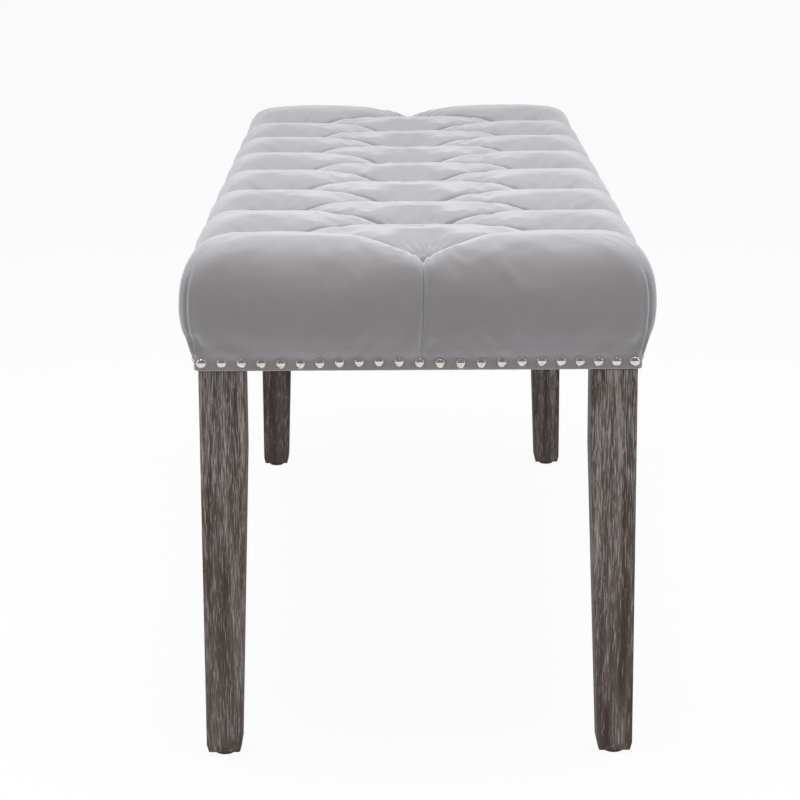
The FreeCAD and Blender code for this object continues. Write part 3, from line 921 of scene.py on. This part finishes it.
def make_velvet():
    """Short pile velvet with painted sheen: its colour is painted paler where the surface is seen
    edge-on and darker where it faces the view.
    """
    made, tree, shader = new_material("grey_velvet")
    place = add(tree, "ShaderNodeTexCoord")
    nap = add(
        tree,
        "ShaderNodeTexNoise",
        inputs={"Scale": 15.0, "Detail": 6.0, "Roughness": 0.66, "Distortion": 0.7},
    )
    pile = add(tree, "ShaderNodeTexNoise", inputs={"Scale": 1400.0, "Detail": 2.0})
    for noise in (nap, pile):
        tree.links.new(place.outputs["Object"], noise.inputs["Vector"])
    both = add(tree, "ShaderNodeMath", operation="MULTIPLY_ADD", inputs={1: 0.6})
    fine = add(tree, "ShaderNodeMath", operation="MULTIPLY", inputs={1: 0.4})
    tree.links.new(pile.outputs["Fac"], fine.inputs[0])
    tree.links.new(nap.outputs["Fac"], both.inputs[0])
    tree.links.new(fine.outputs[0], both.inputs[2])
    # Painted sheen and shade: the ramp over Layer Weight's Facing makes the colour paler at grazing
    # view and darker where it faces the view.
    faced = add(tree, "ShaderNodeLayerWeight", inputs={"Blend": 0.5})
    along = shades(
        tree,
        faced.outputs["Facing"],
        [
            (0.0, (0.250, 0.238, 0.242)),
            (0.1, (0.256, 0.246, 0.252)),
            (0.2, (0.278, 0.270, 0.280)),
            (0.42, (0.350, 0.344, 0.362)),
            (0.62, (0.375, 0.370, 0.392)),
            (0.86, (0.520, 0.516, 0.545)),
        ],
    )
    patchy = shades(
        tree, both.outputs[0], [(0.3, (0.88, 0.88, 0.88)), (0.7, (1.0, 1.0, 1.0))]
    )
    colour = add(tree, "ShaderNodeMix", data_type="RGBA", blend_type="MULTIPLY", inputs={0: 1.0})
    tree.links.new(along, colour.inputs[6])
    tree.links.new(patchy, colour.inputs[7])
    tree.links.new(colour.outputs[2], shader.inputs["Base Color"])
    tree.links.new(bump_from(tree, pile.outputs["Fac"], 0.0002, 0.6), shader.inputs["Normal"])
    shader.inputs["Roughness"].default_value = 0.92
    shader.inputs["Specular IOR Level"].default_value = 0.1
    shader.inputs["Sheen Weight"].default_value = 0.35
    shader.inputs["Sheen Roughness"].default_value = 0.35
    shader.inputs["Sheen Tint"].default_value = (0.95, 0.95, 1.0, 1.0)
    return made


cushion.data.materials.append(make_velvet())
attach(cushion, "root")
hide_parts("velvet_cover", "wadding", "foam_pad")


# Trim nails: round-headed upholstery nails of polished nickel, driven by hand round the foot
# of the cover, so their row wanders a little.

nickel = plated_metal(
    "polished_nickel", (0.58, 0.55, 0.52), (0.74, 0.72, 0.69), 0.135, 0.075, spots=420.0
)
for name in ("front", "back", "left_end", "right_end"):
    finish_node(f"trim_nails_{name}", nickel)


# Dust cover: one piece of thin black cambric, notched round the legs. It is stapled up to the
# rails over the turned hem, and hides the inside of the seat.

finish_node("dust_cover_staples", zinc)


def make_cambric():
    """Black non-woven cloth with a faint dimpled emboss."""
    made, tree, shader = new_material("black_cambric")
    place = add(tree, "ShaderNodeTexCoord")
    dimple = add(
        tree, "ShaderNodeTexVoronoi", feature="SMOOTH_F1", inputs={"Scale": 620.0, "Smoothness": 0.6}
    )
    fluff = add(tree, "ShaderNodeTexNoise", inputs={"Scale": 90.0, "Detail": 6.0})
    for noise in (dimple, fluff):
        tree.links.new(place.outputs["Object"], noise.inputs["Vector"])
    colour = shades(
        tree, fluff.outputs["Fac"], [(0.3, (0.012, 0.012, 0.013)), (0.7, (0.030, 0.030, 0.032))]
    )
    tree.links.new(colour, shader.inputs["Base Color"])
    tree.links.new(
        bump_from(tree, dimple.outputs["Distance"], 0.0003), shader.inputs["Normal"]
    )
    shader.inputs["Roughness"].default_value = 0.85
    return made


cambric = make_cambric()
finish_node("dust_cover", cambric)

cloth_length = 1046.0
cloth_width = 351.5
leg_notch = 29.5
cloth_height = 349.6
cloth_sag = 5.0
cloth_thick = 0.5
cloth_step = 8.0


def cut_dust_cover():
    """The notched cloth, level over the rails it is stapled to and sagging inside them."""
    half_x, half_y = cloth_length / 2, cloth_width / 2
    notch_x, notch_y = half_x - leg_notch, half_y - leg_notch
    places_x = graded(-half_x, half_x, cloth_step, [-notch_x, notch_x], ())
    places_y = graded(-half_y, half_y, cloth_step, [-notch_y, notch_y], ())
    chance = np.random.default_rng(7)
    numbers, verts, faces = {}, [], []
    for i in range(len(places_x) - 1):
        for j in range(len(places_y) - 1):
            middle_x = abs(places_x[i] + places_x[i + 1]) / 2
            middle_y = abs(places_y[j] + places_y[j + 1]) / 2
            if middle_x > notch_x and middle_y > notch_y:
                continue
            face = []
            for key in ((i, j), (i + 1, j), (i + 1, j + 1), (i, j + 1)):
                if key not in numbers:
                    numbers[key] = len(verts)
                    verts.append((places_x[key[0]], places_y[key[1]], cloth_height))
                face.append(numbers[key])
            faces.append(face)
    verts = np.array(verts)
    free_x = smooth_step(half_x - np.abs(verts[:, 0]), 32.0, 130.0)
    free_y = smooth_step(half_y - np.abs(verts[:, 1]), 32.0, 120.0)
    waves = np.zeros(len(verts))
    for count in range(5):
        turn, shift = chance.uniform(-0.5, 0.5), chance.uniform(0, 6.3)
        along = verts[:, 0] * math.cos(turn) + verts[:, 1] * math.sin(turn)
        waves += np.sin(along / chance.uniform(22.0, 60.0) + shift) * 0.22
    verts[:, 2] -= free_x * free_y * (cloth_sag + waves)
    return verts, faces


dust_cloth = mesh_piece("dust_cloth", *cut_dust_cover())
thick = dust_cloth.modifiers.new("thick", "SOLIDIFY")
thick.thickness = cloth_thick * MM
thick.offset = 0.0
apply_modifiers(dust_cloth)
dust_cloth.data.materials.append(cambric)
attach(dust_cloth, "root")
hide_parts("dust_cover")


# Legs: four square hardwood posts, tapered on their inner faces. The wood is brushed, stained
# dark brown and washed with grey; a beech dowel beside the bolt keeps each one from turning.


def make_washed_wood():
    """Dark stained wood with pale wash left in its brushed grain, less of it towards the foot, and
    the colour darker along the edges.
    """
    made, tree, shader = new_material("washed_wood")
    grain = place_group(tree, wood_grain, Stretch=(1500, 1500, 60), Bands=(120, 120, 7), Bend=0.5)
    place = add(tree, "ShaderNodeTexCoord")
    split = add(tree, "ShaderNodeSeparateXYZ")
    tree.links.new(place.outputs["Object"], split.inputs[0])
    stain = shades(
        tree,
        grain.outputs["Band"],
        [(0.34, (0.045, 0.030, 0.026)), (0.66, (0.110, 0.084, 0.074))],
    )
    upper = add(
        tree,
        "ShaderNodeMapRange",
        inputs={"From Min": 0.05, "From Max": 0.28, "To Min": 0.06, "To Max": 0.0},
    )
    tree.links.new(split.outputs["Z"], upper.inputs["Value"])
    uneven = add(tree, "ShaderNodeMath", operation="MULTIPLY_ADD", inputs={1: 0.28})
    tree.links.new(grain.outputs["Band"], uneven.inputs[0])
    tree.links.new(grain.outputs["Grain"], uneven.inputs[2])
    wash_left = add(tree, "ShaderNodeMath", operation="SUBTRACT")
    tree.links.new(uneven.outputs[0], wash_left.inputs[0])
    tree.links.new(upper.outputs[0], wash_left.inputs[1])
    rounded = add(tree, "ShaderNodeBevel", samples=6, inputs={"Radius": 0.0028})
    flat = add(tree, "ShaderNodeNewGeometry")
    close = add(tree, "ShaderNodeVectorMath", operation="DOT_PRODUCT")
    tree.links.new(rounded.outputs[0], close.inputs[0])
    tree.links.new(flat.outputs["True Normal"], close.inputs[1])
    wash = shades(tree, wash_left.outputs[0], [(0.635, (0, 0, 0)), (0.735, (1, 1, 1))])
    mixed = add(tree, "ShaderNodeMix", data_type="RGBA")
    mixed.inputs[7].default_value = (0.30, 0.285, 0.27, 1.0)
    tree.links.new(wash, mixed.inputs[0])
    tree.links.new(stain, mixed.inputs[6])
    # The colour is made darker along the edges, where the bevelled normal turns away from the face's
    # own normal.
    edge = shades(
        tree, close.outputs["Value"], [(0.86, (0.42, 0.36, 0.34)), (0.985, (1.0, 1.0, 1.0))]
    )
    edge_darkened = add(tree, "ShaderNodeMix", data_type="RGBA", blend_type="MULTIPLY", inputs={0: 1.0})
    tree.links.new(mixed.outputs[2], edge_darkened.inputs[6])
    tree.links.new(edge, edge_darkened.inputs[7])
    tree.links.new(edge_darkened.outputs[2], shader.inputs["Base Color"])
    bump = add(tree, "ShaderNodeBump", inputs={"Strength": 1.0, "Distance": 0.0005})
    tree.links.new(grain.outputs["Grain"], bump.inputs["Height"])
    tree.links.new(rounded.outputs[0], bump.inputs["Normal"])
    tree.links.new(bump.outputs[0], shader.inputs["Normal"])
    shader.inputs["Roughness"].default_value = 0.62
    shader.inputs["Specular IOR Level"].default_value = 0.35
    return made


washed_wood = make_washed_wood()
for name in [n for n in parts if n.startswith("leg_")]:
    finish_node(name, washed_wood)
finish_node("locating_dowels", dowel_beech)


# Glides: four round feet moulded in black plastic, each held to the end grain of its leg by
# one steel nail through the middle.


def make_glide_plastic():
    """Black plastic with a fine moulded speckle."""
    made, tree, shader = new_material("black_glide")
    place = add(tree, "ShaderNodeTexCoord")
    speckle = add(tree, "ShaderNodeTexNoise", inputs={"Scale": 700.0, "Detail": 3.0})
    tree.links.new(place.outputs["Object"], speckle.inputs["Vector"])
    colour = shades(
        tree, speckle.outputs["Fac"], [(0.35, (0.006, 0.006, 0.006)), (0.7, (0.016, 0.015, 0.015))]
    )
    tree.links.new(colour, shader.inputs["Base Color"])
    tree.links.new(bump_from(tree, speckle.outputs["Fac"], 0.0001), shader.inputs["Normal"])
    shader.inputs["Roughness"].default_value = 0.45
    return made


glide_plastic = make_glide_plastic()
for name in [n for n in parts if n.startswith("glide_") and n != "glide_nails"]:
    finish_node(name, glide_plastic)
finish_node("glide_nails", zinc)


# Studio: a white paper sweep under a large soft box, with weaker boxes at both sides and
# beyond the near end. The paper looks white and still takes the bench's soft shadow.


def make_sweep():
    """White paper: mostly plain white to the eye, with a share that takes shadow."""
    made, tree, shader = new_material("white_sweep")
    place = add(tree, "ShaderNodeTexCoord")
    paper = add(tree, "ShaderNodeTexNoise", inputs={"Scale": 3.0, "Detail": 3.0})
    tree.links.new(place.outputs["Object"], paper.inputs["Vector"])
    colour = shades(
        tree, paper.outputs["Fac"], [(0.3, (0.83, 0.83, 0.83)), (0.7, (0.85, 0.85, 0.85))]
    )
    tree.links.new(colour, shader.inputs["Base Color"])
    shader.inputs["Roughness"].default_value = 1.0
    shader.inputs["Specular IOR Level"].default_value = 0.0
    glow = add(tree, "ShaderNodeEmission", inputs={"Color": (1, 1, 1, 1), "Strength": 1.0})
    ray = add(tree, "ShaderNodeLightPath")
    mirrored = add(tree, "ShaderNodeMath", operation="MAXIMUM")
    seen = add(tree, "ShaderNodeMath", operation="MAXIMUM")
    share = add(tree, "ShaderNodeMath", operation="MULTIPLY", inputs={1: 0.94})
    tree.links.new(ray.outputs["Is Glossy Ray"], mirrored.inputs[0])
    tree.links.new(ray.outputs["Is Transmission Ray"], mirrored.inputs[1])
    tree.links.new(ray.outputs["Is Camera Ray"], seen.inputs[0])
    tree.links.new(mirrored.outputs[0], seen.inputs[1])
    tree.links.new(seen.outputs[0], share.inputs[0])
    blend = add(tree, "ShaderNodeMixShader")
    tree.links.new(share.outputs[0], blend.inputs[0])
    tree.links.new(shader.outputs[0], blend.inputs[1])
    tree.links.new(glow.outputs[0], blend.inputs[2])
    # Seen from below the sweep is clear, so the underside can be looked at.
    side = add(tree, "ShaderNodeNewGeometry")
    clear = add(tree, "ShaderNodeBsdfTransparent")
    whole = add(tree, "ShaderNodeMixShader")
    tree.links.new(side.outputs["Backfacing"], whole.inputs[0])
    tree.links.new(blend.outputs[0], whole.inputs[1])
    tree.links.new(clear.outputs[0], whole.inputs[2])
    tree.links.new(whole.outputs[0], tree.nodes["Material Output"].inputs["Surface"])
    return made


sweep = mesh_piece(
    "sweep", [(-16, -16, 0), (16, -16, 0), (16, 16, 0), (-16, 16, 0)], [(0, 1, 2, 3)], 1.0
)
sweep.data.materials.append(make_sweep())


def soft_box(name, place, aim, size, power):
    """An area light at a place in metres, turned to its aim."""
    light = bpy.data.lights.new(name, "AREA")
    light.shape = "RECTANGLE"
    light.size, light.size_y = size
    light.energy = power
    made = bpy.data.objects.new(name, light)
    made.location = place
    made.rotation_euler = (Vector(aim) - Vector(place)).to_track_quat("-Z", "Y").to_euler()
    bpy.context.scene.collection.objects.link(made)
    return made


soft_box("overhead_box", (0.3, 0.0, 2.3), (0.2, 0.0, 0.4), (2.0, 1.8), 54.0)
soft_box("left_fill", (0.3, -2.2, 1.3), (0.0, 0.0, 0.3), (1.6, 1.6), 7.0)
soft_box("right_fill", (0.3, 2.2, 1.3), (0.0, 0.0, 0.3), (1.6, 1.6), 7.0)
end_fill = soft_box("end_fill", (2.7, 0.0, 0.9), (0.5, 0.0, 0.25), (1.6, 1.4), 17.0)
end_fill.visible_glossy = False

world = bpy.data.worlds.new("studio")
bpy.context.scene.world = world
world.use_nodes = True
ground = world.node_tree.nodes["Background"]
ground.inputs["Color"].default_value = (1, 1, 1, 1)
ground.inputs["Strength"].default_value = 0.25
seen_sky = add(world.node_tree, "ShaderNodeBackground", inputs={"Color": (1, 1, 1, 1)})
ray = add(world.node_tree, "ShaderNodeLightPath")
blend = add(world.node_tree, "ShaderNodeMixShader")
world.node_tree.links.new(ray.outputs["Is Camera Ray"], blend.inputs[0])
world.node_tree.links.new(ground.outputs[0], blend.inputs[1])
world.node_tree.links.new(seen_sky.outputs[0], blend.inputs[2])
world.node_tree.links.new(
    blend.outputs[0], world.node_tree.nodes["World Output"].inputs["Surface"]
)


# Camera: a long lens beyond the right end, looking back along the bench and a little down.
# Its place and lens come from fitting the glides, the legs and the nail row.

lens = 115.8
camera_place = (2.6866, -0.0186, 0.8137)
yaw = math.radians(0.0787)
pitch = math.radians(12.8308)
roll = math.radians(-0.30)

ahead = Vector(
    (-math.cos(yaw) * math.cos(pitch), math.sin(yaw) * math.cos(pitch), -math.sin(pitch))
)
level = ahead.cross(Vector((0, 0, 1))).normalized()
upright = level.cross(ahead)
right = math.cos(roll) * level + math.sin(roll) * upright
up = -math.sin(roll) * level + math.cos(roll) * upright
camera = bpy.data.objects.new("camera", bpy.data.cameras.new("camera"))
camera.data.lens = lens
camera.data.sensor_width = 36.0
camera.data.clip_end = 60.0
turn = Matrix((right, up, -ahead)).transposed().to_4x4()
camera.matrix_world = Matrix.Translation(camera_place) @ turn
bpy.context.scene.collection.objects.link(camera)
bpy.context.scene.camera = camera
bpy.context.scene.view_settings.view_transform = "Standard"
